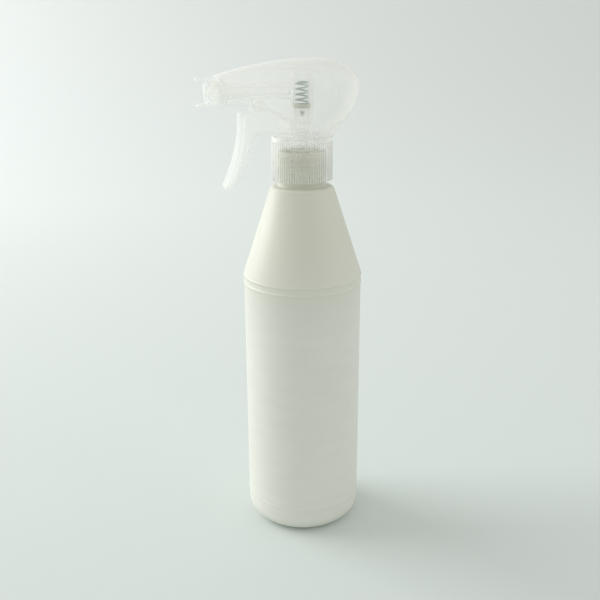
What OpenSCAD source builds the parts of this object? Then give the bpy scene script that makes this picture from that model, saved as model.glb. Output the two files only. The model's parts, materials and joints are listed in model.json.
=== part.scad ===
// Trigger spray bottle: a blown bottle with a conical shoulder, a ribbed screw collar
// and a trigger sprayer with an upright pump.
// Millimetres. The origin is the centre of the base on the standing plane, +Z is up
// and the nozzle sprays along -X.

/* [Bottle] */
// Outer diameter of the straight body
bottle_d = 66; // [60:1:76]
// Height at which the body ends and the shoulder begins
body_h = 151.6; // [120:0.2:190]
// Height of the conical shoulder
shoulder_h = 48.4; // [40:0.2:60]
// Outer diameter at the top of the shoulder
shoulder_top_d = 34.4; // [32:0.2:40]
// Radius of the shoulder's top edge
shoulder_round_r = 2.4; // [1:0.2:3]
// Thickness of the blown wall
bottle_wall = 1.2; // [0.8:0.1:1.8]
// Radius of the rounded bottom corner
base_corner_r = 10; // [6:0.5:13]
// Height of the push-up under the base
push_up_h = 3; // [1.5:0.5:5]
// Width of the flat ring that the bottle stands on
foot_w = 3; // [2:0.5:6]
// Height of the faint ring above the base
base_ring_z = 16; // [15:0.5:30]
// How far that ring stands out of the wall
base_ring_proud = 0.2; // [0.1:0.05:0.4]
// Distance between the two beads below the shoulder
bead_pitch = 4.2; // [3:0.1:6]
// Radius of the rounded section of beads and ring
bead_r = 1.1; // [0.9:0.1:1.4]
// How far a bead stands out of the wall
bead_proud = 0.35; // [0.2:0.05:0.6]

/* [Neck] */
// Thickness of the neck under the thread
neck_wall = 2.05; // [1.6:0.05:2.6]
// Height of the neck above the shoulder
neck_h = 19; // [18:0.5:24]
// Chamfer on the rim
rim_chamfer = 0.6; // [0.3:0.1:1]

/* [Collar] */
// Outer diameter over the ribs
collar_d = 33.4; // [32:0.2:36]
// Height of the collar
collar_h = 23; // [18:0.5:23]
// Thickness of the collar round the thread
collar_wall = 2.6; // [2:0.1:3]
// Room for the thread between the collar's bore and the neck
thread_room = 1.15; // [0.9:0.05:1.4]
// Number of ribs round the collar
collar_ribs = 72; // [48:4:90]
// Depth of the grooves between the ribs
rib_depth = 0.35; // [0.2:0.05:0.5]
// Height of the plain band above the ribs
collar_band_h = 2.4; // [1.5:0.1:4]
// Chamfer on the top edge
collar_chamfer = 0.8; // [0.4:0.1:1.2]
// Thickness of the web that holds the sprayer's flange
collar_web_h = 3.2; // [2.4:0.1:4]

/* [Pump body] */
// Distance of the flange's edge from the collar's bore
flange_inset = 0.8; // [0.5:0.1:1.2]
// Thickness of the flange
flange_h = 2.8; // [2:0.1:3.6]
// Width of the ledge that the collar's web holds down
flange_ledge = 2.9; // [2:0.1:3.4]
// Distance of the deck's edge from the inside of the shroud
deck_inset = 1.5; // [1:0.1:2.2]
// Thickness of the deck
deck_h = 1.2; // [1:0.1:2]
// Outer diameter of the upright cylinder
cylinder_d = 12.6; // [12.2:0.1:13]
// Bore of the upright cylinder
cylinder_bore_d = 9.6; // [9.2:0.1:10]
// Outer diameter of the inlet barrel
barrel_d = 10.4; // [10.2:0.1:11]
// Length of the inlet barrel below the flange
barrel_h = 16; // [14:0.5:20]
// Length of the socket for the tube holder in the barrel
holder_socket_h = 6.8; // [5:0.2:7]
// Thickness of the barrel round that socket
holder_wall = 1; // [0.9:0.05:1.1]
// Diameter of the vent hole
vent_d = 2; // [1.6:0.1:2.4]

/* [Discharge] */
// Height of the spray axis below the top of the chamber
spray_drop = 4.8; // [4.6:0.1:5]
// Outer diameter of the discharge tube
tube_d = 9; // [8.6:0.1:9.4]
// Reach of the discharge tube from the cylinder's axis
tube_reach = 46; // [42:0.5:52]
// Bore behind the outlet valve
tube_bore_d = 4.8; // [4.6:0.1:5]
// Bore in front of the outlet valve's seat
front_bore_d = 6; // [5.8:0.1:6.2]
// Length of the front bore
front_bore_h = 18; // [16:0.5:20]
// Diameter of the outlet port
port_d = 1.4; // [1:0.1:1.4]
// Height of the port above the spray axis
port_rise = 1.6; // [1.5:0.1:1.7]
// Width of the snap ring on the spigot
snap_w = 0.8; // [0.6:0.1:1.2]
// How far the snap ring stands out
snap_proud = 0.5; // [0.3:0.1:0.6]
// Distance of the snap ring from the tube's end
snap_back = 5.2; // [4:0.1:5.4]

/* [Plunger] */
// Travel of the plunger
stroke = 7.3; // [6:0.1:8]
// Diameter of the stem
stem_d = 7; // [6.6:0.1:7.2]
// Length of the stem below the flange's underside
stem_tail = 6; // [5.5:0.1:8]
// Bore of the stem
stem_bore_d = 2.4; // [2:0.1:2.6]
// Diameter of the piston head
head_d = 8.8; // [8.4:0.1:9]
// Height of the piston head
head_h = 6.2; // [5.6:0.1:7]
// Diameter of a side lug
lug_d = 2.6; // [2.2:0.1:2.8]
// Diameter of the spigot that carries the cup
spigot_d = 4.8; // [4.6:0.1:4.9]
// Height of the spigot above the spring's seat
spigot_rise = 0.7; // [0.4:0.1:1]
// Diameter of the ball's chamber
ball_chamber_d = 3.6; // [3.4:0.1:3.8]
// Depth of the ball's seat below the cup
seat_depth = 4; // [3.8:0.1:4.4]
// Diameter of the inlet ball
ball_d = 3; // [2.9:0.1:3.2]
// Lift of the ball
ball_lift = 1; // [0.6:0.1:1]
// Thickness of the cup's floor
cup_floor = 1.2; // [0.8:0.1:1.6]
// Height of the cup's lip
cup_lip_h = 1; // [0.6:0.1:1.2]
// Thickness of the cup's lip
cup_lip_w = 0.8; // [0.6:0.1:0.9]

/* [Spring] */
// Length of the spring at rest
spring_len = 12.6; // [11.6:0.1:14]
// Mean diameter of the coil
spring_d = 6.4; // [6.2:0.1:6.6]
// Diameter of the wire
wire_d = 0.9; // [0.7:0.05:0.95]
// Number of turns
spring_turns = 4.5; // [3.5:0.25:5]
// Direction of the spring's lower end
spring_start = 20; // [0:5:355]

/* [Trigger] */
// Distance from the pivot to the plunger's axis
arm_len = 24; // [22:0.5:26]
// Drop of the pivot below the discharge tube
pivot_drop = 3.1; // [3:0.1:3.6]
// Diameter of the trunnion pin
pin_d = 3.2; // [2.8:0.1:3.6]
// Diameter of the eye round the pin
eye_d = 7.2; // [6.4:0.2:7.6]
// Width of the trigger
trigger_w = 16.4; // [16.2:0.1:16.8]
// Thickness of the side walls and plates
trigger_wall = 1.4; // [1.2:0.1:1.5]
// Thickness of the finger wall
finger_wall = 2.6; // [1.8:0.1:3.2]
// Reach of the trigger below the pivot
trigger_len = 42; // [36:0.5:44]
// Distance of the finger wall in front of the pivot
finger_reach = 9.7; // [9:0.1:10.5]
// Radius of the hollow finger side
finger_r = 82; // [70:1:110]
// Height of the finger arc's centre below the pivot
finger_drop = 3.9; // [2:0.1:6]
// Radius of the blade's rear edge
blade_r = 47.4; // [45:0.2:50]
// Height of the rear arc's centre below the pivot
blade_drop = 6.5; // [5.5:0.1:7.5]
// Distance of the rear edge before the pivot at that height
blade_front = 1.2; // [0.8:0.1:1.6]
// Height of the top of the finger wall below the pivot
finger_top = 3.8; // [2:0.1:4.5]
// Thickness of a fork's tines
tine_h = 1.6; // [1.2:0.1:2]
// Length of a fork's slot behind the lug's place at rest
fork_back = 3; // [2:0.1:4]
// Length of a fork's slot before the lug's place at rest
fork_front = 4.8; // [4.6:0.1:6]

/* [Nozzle] */
// Side of the square head at its front
nozzle_w = 14.2; // [13:0.1:15]
// Narrowing of the head from front to back, on each side
nozzle_taper = 0.5; // [0.2:0.1:1]
// Diameter of the cone that trims the head's corners
nozzle_corner_d = 18.4; // [16:0.1:19]
// Length of the square head
nozzle_head_h = 7.4; // [6.6:0.1:8]
// Distance of the head's rear face before the discharge tube's end
nozzle_lead = 2.7; // [2.4:0.1:3]
// Depth of the recess in the head's front
nozzle_recess = 5.6; // [4.5:0.1:5.8]
// Radius of the recess's inner corners
nozzle_recess_r = 1; // [0.5:0.1:2]
// Thickness of the lips above and below the recess
nozzle_lip = 1.2; // [0.9:0.1:2]
// Diameter of the round skirt
nozzle_skirt_d = 13.8; // [13:0.1:14]
// Length of the round skirt
nozzle_skirt_h = 6.3; // [5:0.1:7]
// Diameter of the skirt's rear rim
nozzle_rim_d = 14.6; // [14.2:0.1:14.8]
// Width of the rear rim
nozzle_rim_w = 0.8; // [0.6:0.1:1.2]
// Thickness of the skirt and of the sleeve
nozzle_wall = 0.85; // [0.7:0.05:0.9]
// Reach of the sleeve behind the skirt
sleeve_back = 2.9; // [2.6:0.1:3.4]
// Thickness of the floor behind the head
nozzle_floor = 1.8; // [1.2:0.1:2.4]
// Diameter of the orifice
orifice_d = 0.9; // [0.6:0.1:1.2]
// Diameter of the boss round the orifice
orifice_boss_d = 9.6; // [8:0.1:10]
// Height of that boss
orifice_boss_h = 1.2; // [0.5:0.1:1.5]

/* [Shroud] */
// Reach of the visor's nose before the pump's axis
nose_reach = 47; // [45:0.5:48]
// Height of the nose above the spray axis
nose_rise = 8; // [7.9:0.1:9]
// Distance of the crown's highest point behind the pump's axis
crown_back = 9; // [6:0.5:12]
// Height of the crown above the spray axis
crown_rise = 16.8; // [16:0.1:19]
// Reach of the round rear behind the pump's axis
rear_reach = 30.5; // [27:0.5:34]
// Height of the rearmost point above the spray axis
rear_rise = 2.5; // [0:0.5:5]
// How far the skirt stands out over the collar
skirt_proud = 0.3; // [0:0.1:0.8]
// Distance of the housing's front edge before the pump's axis
house_reach = 42; // [41:0.5:42]
// Depth of the housing's lower edge below the spray axis
house_drop = 6.2; // [6:0.1:7]
// Half width of the housing at its front edge
house_half_w = 9.2; // [9:0.1:10]
// Distance from the housing's front edge to the arch
house_len = 10; // [8:0.5:12]
// Half width where the arch begins
arch_half_w = 10.4; // [10.2:0.1:11]
// Distance of the arch's foot before the pump's axis
arch_foot = 5.6; // [4:0.2:8]
// Thickness of the shroud
shroud_wall = 1.3; // [1:0.05:1.4]
// Thickness at the visor's nose
nose_wall = 0.7; // [0.6:0.05:0.8]
// Squareness of the cross-section at the front
front_square = 4.2; // [3:0.1:5]
// Squareness of the cross-section at the rear
rear_square = 2.6; // [2.2:0.1:3]

/* [Seals and tube] */
// Thickness of the neck gasket
gasket_h = 1.2; // [0.8:0.1:1.6]
// How far the neck gasket reaches in past the neck's bore
gasket_lap = 0.5; // [0.2:0.1:0.6]
// Height of the stem seal
stem_seal_h = 3.2; // [2.4:0.1:3.4]
// Thickness of the outlet valve's disc
valve_disc_h = 0.9; // [0.6:0.1:1.2]
// Length of the outlet valve's nub
valve_nub_h = 2; // [1.5:0.1:3]
// Diameter of the outlet valve's nub
valve_nub_d = 2; // [1.6:0.1:2.4]
// Number of grooves along the spinner
spinner_grooves = 3; // [2:1:4]
// Width of the spinner's grooves
spinner_groove_w = 1; // [0.6:0.1:1.2]
// Reach of the spinner's tip out of the tube
spinner_tip = 1.6; // [1.2:0.1:1.8]
// Width of the nozzle seal
ring_w = 1.1; // [0.8:0.1:1.4]
// Depth of the nozzle seal's groove
ring_depth = 0.6; // [0.4:0.05:0.7]
// Distance of that groove from the tube's end
ring_back = 1.2; // [0.8:0.1:1.6]
// Room round the vent valve's cap
vent_room = 0.6; // [0.5:0.05:0.8]
// Thickness of the vent valve's cap
vent_cap_h = 0.9; // [0.6:0.1:1]
// Outer diameter of the dip tube
dip_d = 5.6; // [5:0.1:6]
// Wall of the dip tube
dip_wall = 0.8; // [0.6:0.1:1]
// Height of the dip tube's lower end above the inner floor
dip_clear = 2.5; // [2:0.5:8]
// Slant of the dip tube's lower end
dip_slant = 30; // [0:5:45]
// Height of the tube holder's flange
holder_flange_h = 1.4; // [1:0.1:2]

/* [Clearances] */
// Play of a running fit, on the radius
run_play = 0.05; // [0.03:0.01:0.09]
// Play between faces that turn or lie against each other
face_play = 0.3; // [0.2:0.05:0.4]
// Play round the plunger's lugs
lug_play = 0.4; // [0.35:0.05:0.5]
// Play of an assembled fit, on the radius
fit_play = 0.05; // [0.03:0.01:0.1]

/* [Hidden] */
$fn = 64;
// Overrun of cutting solids and overlap of joined ones
cut = 1;
bite = 0.5;
bottle_r = bottle_d / 2;
shoulder_top_r = shoulder_top_d / 2;
z_neck = body_h + shoulder_h;
z_rim = z_neck + neck_h;
// Radial fall of the shoulder per millimetre of height
cone_fall = (bottle_r - shoulder_top_r) / shoulder_h;
cone_stretch = sqrt(1 + cone_fall * cone_fall);
bead_half = sqrt(bead_r * bead_r - pow(bead_r - bead_proud, 2));

// Diameters from the collar inwards
collar_bore_d = collar_d - 2 * collar_wall;
neck_d = collar_bore_d - 2 * thread_room;
neck_bore_d = neck_d - 2 * neck_wall;
flange_d = collar_bore_d - 2 * flange_inset;
journal_d = flange_d - 2 * flange_ledge;
skirt_d = collar_d + 2 * skirt_proud;
deck_d = skirt_d - 2 * (shroud_wall + deck_inset);
gasket_bore_d = neck_bore_d - 2 * gasket_lap;
// The vent lies midway between the barrel and the gasket
vent_place_r = (gasket_bore_d + barrel_d) / 4;
vent_cap_d = (gasket_bore_d - barrel_d) / 2 - 2 * vent_room;

// Levels of the sprayer, from the neck's rim upwards
z_flange = z_rim + gasket_h;
z_web = z_flange + flange_h + face_play;
z_collar_top = z_web + collar_web_h;
z_collar = z_collar_top - collar_h;
z_deck = z_collar_top + face_play;
z_deck_top = z_deck + deck_h;
z_skirt = z_deck;
prong_gap = 2 * face_play;
z_prong = z_deck_top + prong_gap;
z_lug = z_prong + tine_h + lug_play + lug_d / 2;
z_window_top = z_lug + stroke + lug_d / 2 + lug_play;
cup_over_window = 0.5;
z_cup = z_window_top + cup_over_window;
z_spring = z_cup + cup_floor;
z_cap = z_spring + spring_len;
z_spray = z_cap - spray_drop;
z_barrel = z_flange - barrel_h;
z_stem_seal = z_deck_top - stem_seal_h - prong_gap;
z_seat = z_cup - seat_depth;
ball_sit = sqrt(pow(ball_d / 2, 2) - pow(stem_bore_d / 2, 2));
z_ball = z_seat + ball_sit + run_play;
z_cage = z_ball + ball_d / 2 + ball_lift + face_play;
z_spigot = z_spring + spigot_rise;
guide_r = stem_d / 2 + 2 * run_play;
holder_h = holder_socket_h - face_play;

// Cap of the cylinder
cap_plug_h = 1.4;
cap_flange_h = 1.2;
cap_wall = 1.2;
cap_peg_h = 2;
cap_step = 0.5;
cap_below_crown = 3.2;
z_cylinder_top = z_cap + cap_plug_h;

// Trigger, in a plane through its pivot: x towards the rear, y upwards
pivot = [-arm_len, 0, z_spray - tube_d / 2 - pivot_drop];
lug_place = [arm_len, z_lug - pivot.z];
finger_centre = [-finger_reach - finger_r, -finger_drop];
blade_centre = [-blade_front - blade_r, -blade_drop];
plate_y = trigger_w / 2 - trigger_wall;
plate_bottom = z_prong - pivot.z;
fork_h = lug_d / 2 + lug_play;
sleeve_r = 2.4;

// Discharge and nozzle, as distances along the spray direction
blind_gap = 0.7;
pocket_play = 0.2;
d_valve = tube_reach - front_bore_h;
d_blind = cylinder_d / 2 + blind_gap;
d_snap = tube_reach - snap_back;
d_ring = tube_reach - ring_back - ring_w;
d_plate = tube_reach + face_play;
d_pocket = tube_reach + spinner_tip + 2 * face_play;
d_head = tube_reach + nozzle_lead;
d_skirt = d_head - nozzle_skirt_h;
d_front = d_head + nozzle_head_h;
d_recess = d_front - nozzle_recess;
sleeve_bore_r = tube_d / 2 + run_play;
pocket_d = front_bore_d + 2 * pocket_play;

// Shroud: crown line and lower edge
nose = [-nose_reach, z_spray + nose_rise];
crown_top = [crown_back, z_spray + crown_rise];
rear = [rear_reach, z_spray + rear_rise];
skirt_r = skirt_d / 2;
house_fall = 0.6;
house_edge = [-house_reach, z_spray - house_drop];
arch_start = [house_len - house_reach, house_edge.y - house_fall];
arch_end = [-arch_foot, z_skirt];
arch_bend = [arch_end.x - 6.5, arch_start.y - 3];
// Points that pull the crown line and the line from the rear to the skirt
rear_h = rear.y - z_skirt;
crown_pull = [crown_top.x - 27, crown_top.y];
rear_pull = [rear.x, rear.y - 0.575 * rear_h];
skirt_pull = [skirt_r + 5, z_skirt + 0.44 * rear_h];
// Share of the crown line that lies over the housing
house_share = 0.27;
skirt_front_a = acos(-arch_foot / skirt_r);
skirt_rear_a = 35;
nose_sweep = 0.35;
house_rows = 4;
arch_rows = 9;
rear_rows = 15;
half_cols = 11;

// Colours
white_plastic = [0.94, 0.94, 0.91];
milky = [0.88, 0.91, 0.88, 0.6];
clear_milky = [0.86, 0.9, 0.88, 0.5];
cup_olive = [0.33, 0.33, 0.25];
soft_natural = [0.86, 0.86, 0.8];
soft_white = [0.85, 0.85, 0.82];
steel = [0.55, 0.56, 0.58];

// Helpers
function arc(c, r, a0, a1, n) =
    [for (i = [0:n]) c + r * [cos(a0 + (a1 - a0) * i / n), sin(a0 + (a1 - a0) * i / n)]];
function mix(a, b, t) = a + (b - a) * t;
function smooth(t) = t * t * (3 - 2 * t);
function unit(v) = v / norm(v);
function bend(p, q, r, t) = mix(mix(p, q, t), mix(q, r, t), t);
function curve(p, q, r, s, t) = mix(bend(p, q, r, t), bend(q, r, s, t), t);
function quad(p, q, r, s) = [[p, q, r], [p, r, s]];

// A ring or tube on the Z axis
module tube(outer_d, inner_d, h) {
    difference() {
        cylinder(d = outer_d, h = h);
        translate([0, 0, -cut]) cylinder(d = inner_d, h = h + 2 * cut);
    }
}

// Places children so that their Z axis is the spray direction, at distance d
module along_spray(d = 0) {
    translate([-d, 0, z_spray]) rotate([0, -90, 0]) children();
}

// Points of a low bead on a wall of radius r, from below upwards
function bead_points(r, z, proud) =
    let (a = acos((bead_r - proud) / bead_r))
    arc([r + proud - bead_r, z], bead_r, -a, a, 6);

// Shoulder line at a height, inset by a wall
function cone_r(z, inset = 0) = bottle_r - cone_fall * (z - body_h) - inset * cone_stretch;

// Bottle: one closed outline, up the outside and down the inside
module bottle() {
    foot_out = bottle_r - base_corner_r;
    foot_in = foot_out - foot_w;
    dome_r = (foot_in * foot_in + push_up_h * push_up_h) / (2 * push_up_h);
    dome_a = asin(foot_in / dome_r);
    dome_c = [0, push_up_h - dome_r];
    in_corner_r = base_corner_r - bottle_wall;
    in_corner_a = -80;
    in_dome_a = 0.8 * asin(foot_out / (dome_r + bottle_wall));
    in_chamfer = 2;
    z_roof = z_neck - bottle_wall;
    top_c = [cone_r(z_neck - shoulder_round_r, shoulder_round_r), z_neck - shoulder_round_r];
    cone_a = atan(cone_fall);
    outside = concat(
        arc(dome_c, dome_r, 90, 90 - dome_a, 8),
        arc([foot_out, base_corner_r], base_corner_r, -90, 0, 10),
        bead_points(bottle_r, base_ring_z, base_ring_proud),
        bead_points(bottle_r, body_h - bead_half - bead_pitch, bead_proud),
        bead_points(bottle_r, body_h - bead_half, bead_proud),
        arc(top_c, shoulder_round_r, cone_a, 90, 6),
        [[neck_d / 2, z_neck], [neck_d / 2, z_rim - rim_chamfer],
         [neck_d / 2 - rim_chamfer, z_rim]]);
    inside = concat(
        [[neck_bore_d / 2, z_rim], [neck_bore_d / 2, z_roof],
         [cone_r(z_roof, bottle_wall) - in_chamfer / 2, z_roof],
         [cone_r(z_roof - in_chamfer, bottle_wall), z_roof - in_chamfer],
         [bottle_r - bottle_wall, body_h]],
        arc([foot_out, base_corner_r], in_corner_r, 0, in_corner_a, 9),
        arc(dome_c, dome_r + bottle_wall, 90 - in_dome_a, 90, 8));
    color(white_plastic) rotate_extrude($fn = 128) polygon(concat(outside, inside));
}

// Collar: ribbed skirt, plain band and the web that clamps the flange
module collar() {
    crest_r = collar_d / 2;
    root_r = crest_r - rib_depth;
    // Corners of one rib: share of its step and radius
    rib = [[0.1, root_r], [0.3, crest_r], [0.7, crest_r], [0.9, root_r]];
    ribs = [for (i = [0:collar_ribs - 1], corner = rib)
        let (a = 360 / collar_ribs * (i + corner[0]))
        corner[1] * [cos(a), sin(a)]];
    lead = 0.8;
    color(milky) difference() {
        union() {
            translate([0, 0, z_collar]) linear_extrude(collar_h - collar_band_h) polygon(ribs);
            translate([0, 0, z_collar_top - collar_band_h])
                cylinder(r = root_r, h = collar_band_h - collar_chamfer);
            translate([0, 0, z_collar_top - collar_chamfer])
                cylinder(r1 = root_r, r2 = root_r - collar_chamfer, h = collar_chamfer);
        }
        translate([0, 0, z_collar - cut]) cylinder(d = collar_bore_d, h = z_web - z_collar + cut);
        translate([0, 0, z_collar - cut])
            cylinder(d1 = collar_bore_d + 2 * (lead + cut), d2 = collar_bore_d, h = lead + cut);
        translate([0, 0, z_web - cut])
            cylinder(d = journal_d + 4 * run_play, h = collar_web_h + 2 * cut);
    }
}

// Pump body: flange, journal, deck, barrel, upright cylinder, discharge tube and trunnions
module pump_body() {
    color(milky) difference() {
        union() {
            translate([0, 0, z_flange]) cylinder(d = flange_d, h = flange_h);
            translate([0, 0, z_flange]) cylinder(d = journal_d, h = z_deck_top - z_flange);
            translate([0, 0, z_deck]) cylinder(d = deck_d, h = deck_h);
            translate([0, 0, z_barrel]) cylinder(d = barrel_d, h = barrel_h + bite);
            translate([0, 0, z_deck]) cylinder(d = cylinder_d, h = z_cylinder_top - z_deck);
            along_spray() cylinder(d = tube_d, h = tube_reach);
            along_spray(d_snap) cylinder(d = tube_d + 2 * snap_proud, h = snap_w);
            trunnions();
        }
        translate([0, 0, z_stem_seal])
            cylinder(d = cylinder_bore_d, h = z_cylinder_top - z_stem_seal + cut);
        translate([0, 0, z_barrel - cut]) cylinder(r = guide_r, h = z_deck_top - z_barrel);
        translate([0, 0, z_barrel - cut])
            cylinder(d = barrel_d - 2 * holder_wall, h = holder_socket_h + cut);
        translate([vent_place_r, 0, z_flange - cut])
            cylinder(d = vent_d, h = z_deck_top - z_flange + 2 * cut);
        lug_windows();
        along_spray(d_blind) cylinder(d = tube_bore_d, h = tube_reach);
        along_spray(d_valve) cylinder(d = front_bore_d, h = tube_reach);
        translate([0, 0, port_rise]) along_spray(cylinder_bore_d / 4)
            cylinder(d = port_d, h = d_blind);
        along_spray(d_ring) difference() {
            cylinder(d = tube_d + 2 * cut, h = ring_w);
            cylinder(d = tube_d - 2 * ring_depth, h = ring_w);
        }
    }
}

// Web under the discharge tube with the trigger's pin through it
module trunnions() {
    web_w = 4;
    web_top = z_spray - tube_d / 4;
    translate([pivot.x - sleeve_r, -web_w / 2, pivot.z])
        cube([2 * sleeve_r, web_w, web_top - pivot.z]);
    translate(pivot) rotate([90, 0, 0])
        cylinder(r = sleeve_r, h = 2 * (plate_y - face_play), center = true);
    translate(pivot) rotate([90, 0, 0]) cylinder(d = pin_d, h = trigger_w, center = true);
}

// Upright slots in the cylinder's wall for the plunger's lugs
module lug_windows() {
    w = lug_d + 2 * lug_play;
    z_low = z_lug - w / 2;
    translate([-w / 2, -cylinder_d / 2 - cut, z_low])
        cube([w, cylinder_d + 2 * cut, z_window_top - z_low]);
}

// Plunger: hollow stem, piston head with the ball's seat, cup spigot and side lugs
module plunger() {
    z_stem = z_flange - stem_tail;
    z_head = z_cup - head_h;
    lug_inset = 0.2;
    color(milky) difference() {
        union() {
            translate([0, 0, z_stem]) cylinder(d = stem_d, h = z_head - z_stem + bite);
            translate([0, 0, z_head]) cylinder(d = head_d, h = head_h);
            translate([0, 0, z_cup - bite]) cylinder(d = spigot_d, h = z_spigot - z_cup + bite);
            translate([0, 0, z_lug]) rotate([90, 0, 0])
                cylinder(d = lug_d, h = trigger_w - 2 * lug_inset, center = true);
        }
        translate([0, 0, z_stem - cut]) cylinder(d = stem_bore_d, h = z_seat - z_stem + 2 * cut);
        translate([0, 0, z_seat]) cylinder(d = ball_chamber_d, h = z_spigot - z_seat + cut);
    }
}

// Soft cup with a flared lip that the spring sits in
module piston_cup() {
    lip_r = cylinder_bore_d / 2 - run_play;
    hole_r = spigot_d / 2 + fit_play;
    floor_r = head_d / 2;
    z_lip = z_spring + cup_lip_h;
    color(cup_olive) rotate_extrude() polygon([
        [hole_r, z_cup], [floor_r, z_cup], [lip_r, z_spring], [lip_r, z_lip],
        [lip_r - cup_lip_w / 2, z_lip], [lip_r - cup_lip_w, z_spring], [hole_r, z_spring]]);
}

module inlet_ball() {
    color(steel) translate([0, 0, z_ball]) sphere(d = ball_d);
}

// Plug over the ball, with a cross of openings for the liquid
module ball_cage() {
    r = ball_chamber_d / 2 - fit_play;
    h = z_spigot - z_cage;
    slot_w = 0.9;
    core = 0.5;
    color(soft_white) translate([0, 0, z_cage]) difference() {
        cylinder(r = r, h = h);
        for (a = [0:90:270]) rotate(a)
            translate([-slot_w / 2, core, -cut]) cube([slot_w, r, h + 2 * cut]);
    }
}

// Return spring: path of the wire, with straight ends one wire long
spring_play = 0.05;
spring_low = z_spring + 2 * spring_play;
spring_high = z_cap - spring_play;
curl_rings = 8;
curl_steps = ceil(spring_turns * curl_rings);
helix_low = spring_low + wire_d;
helix_high = spring_high - wire_d;
function spring_angle(i) = spring_start + 360 * spring_turns * i / curl_steps;
function radial(a) = [cos(a), sin(a), 0];
function helix_point(i) =
    spring_d / 2 * radial(spring_angle(i)) + [0, 0, mix(helix_low, helix_high, i / curl_steps)];
spring_path = concat(
    [helix_point(0) - [0, 0, wire_d]],
    [for (i = [0:curl_steps]) helix_point(i)],
    [helix_point(curl_steps) + [0, 0, wire_d]]);
spring_dirs = concat([spring_start], [for (i = [0:curl_steps]) spring_angle(i)],
    [spring_angle(curl_steps)]);

// Closed tube with six sides along a path
module wire(path, dirs, d) {
    sides = 6;
    step = 360 / sides;
    last = len(path) - 1;
    tail = last * sides;
    rings = [for (i = [0:last])
        let (t = unit(path[min(i + 1, last)] - path[max(i - 1, 0)]),
             e = radial(dirs[i]),
             n = unit(e - (e * t) * t),
             b = cross(t, n))
        for (k = [0:sides - 1]) path[i] + d / 2 * (cos(step * k) * n + sin(step * k) * b)];
    skin = [for (i = [0:last - 1], k = [0:sides - 1])
        let (p = i * sides + k, q = i * sides + (k + 1) % sides)
        each quad(p, p + sides, q + sides, q)];
    ends = concat(
        [for (k = [1:sides - 2]) [0, k, k + 1]],
        [for (k = [1:sides - 2]) [tail, tail + k + 1, tail + k]]);
    polyhedron(rings, concat(skin, ends));
}

// Least gap of the spring to itself, on points at least half a turn apart
spring_gap = min([for (i = [0:curl_steps], j = [i + curl_rings / 2:curl_steps])
    norm(helix_point(i) - helix_point(j))]) - wire_d;
echo(str("least gap of the spring to itself: ", spring_gap, " mm"));

module return_spring() {
    color(steel) wire(spring_path, spring_dirs, wire_d);
}

// Cap: plug with a spring peg, flange and a hollow post under the shroud's crown
module cylinder_cap() {
    post_d = cylinder_d - 2 * cap_step;
    peg_d = spring_d - wire_d - 2 * face_play;
    z_post = z_cylinder_top + cap_flange_h;
    post_top = crown_top.y - cap_below_crown;
    color(milky) difference() {
        union() {
            translate([0, 0, z_cap - cap_peg_h]) cylinder(d = peg_d, h = cap_peg_h + bite);
            translate([0, 0, z_cap])
                cylinder(d = cylinder_bore_d - 2 * fit_play, h = cap_plug_h + bite);
            translate([0, 0, z_cylinder_top]) cylinder(d = cylinder_d, h = cap_flange_h);
            translate([0, 0, z_cylinder_top]) cylinder(d = post_d, h = post_top - z_cylinder_top);
        }
        translate([0, 0, z_post])
            cylinder(d = post_d - 2 * cap_wall, h = post_top - z_post + cut);
    }
}

// Lip ring round the plunger's stem
module stem_seal() {
    bore = stem_d + 2 * run_play;
    outer = cylinder_bore_d - 2 * fit_play;
    groove_h = 0.8;
    lip_w = 0.4;
    color(soft_natural) translate([0, 0, z_stem_seal]) difference() {
        tube(outer, bore, stem_seal_h);
        translate([0, 0, stem_seal_h - groove_h])
            tube(outer - 2 * lip_w, bore + 2 * lip_w, groove_h + cut);
    }
}

module outlet_valve() {
    color(soft_natural) along_spray(d_valve + fit_play) {
        cylinder(d = front_bore_d - 4 * fit_play, h = valve_disc_h);
        cylinder(d = valve_nub_d, h = valve_disc_h + valve_nub_h);
    }
}

// Swirl insert: grooved rod with a socket for the valve's nub and a slotted tip
module spinner() {
    rod_r = front_bore_d / 2 - fit_play;
    d_tail = d_valve + fit_play + valve_disc_h + face_play;
    h = tube_reach + spinner_tip - d_tail;
    swirl_d = 1.6;
    swirl_h = 0.6;
    color(soft_white) along_spray(d_tail) difference() {
        cylinder(r = rod_r, h = h);
        translate([0, 0, -cut]) cylinder(d = valve_nub_d + 2 * fit_play, h = valve_nub_h + cut);
        for (i = [0:spinner_grooves - 1]) rotate(360 / spinner_grooves * i)
            translate([rod_r - spinner_groove_w / 2, -spinner_groove_w / 2, -cut])
                cube([spinner_groove_w, spinner_groove_w, h + 2 * cut]);
        translate([0, 0, h - swirl_h]) cylinder(d = swirl_d, h = swirl_h + cut);
    }
}

module nozzle_seal() {
    color(soft_natural) along_spray(d_ring + fit_play)
        tube(tube_d, tube_d - 2 * ring_depth + 2 * fit_play, ring_w - 2 * fit_play);
}

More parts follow.
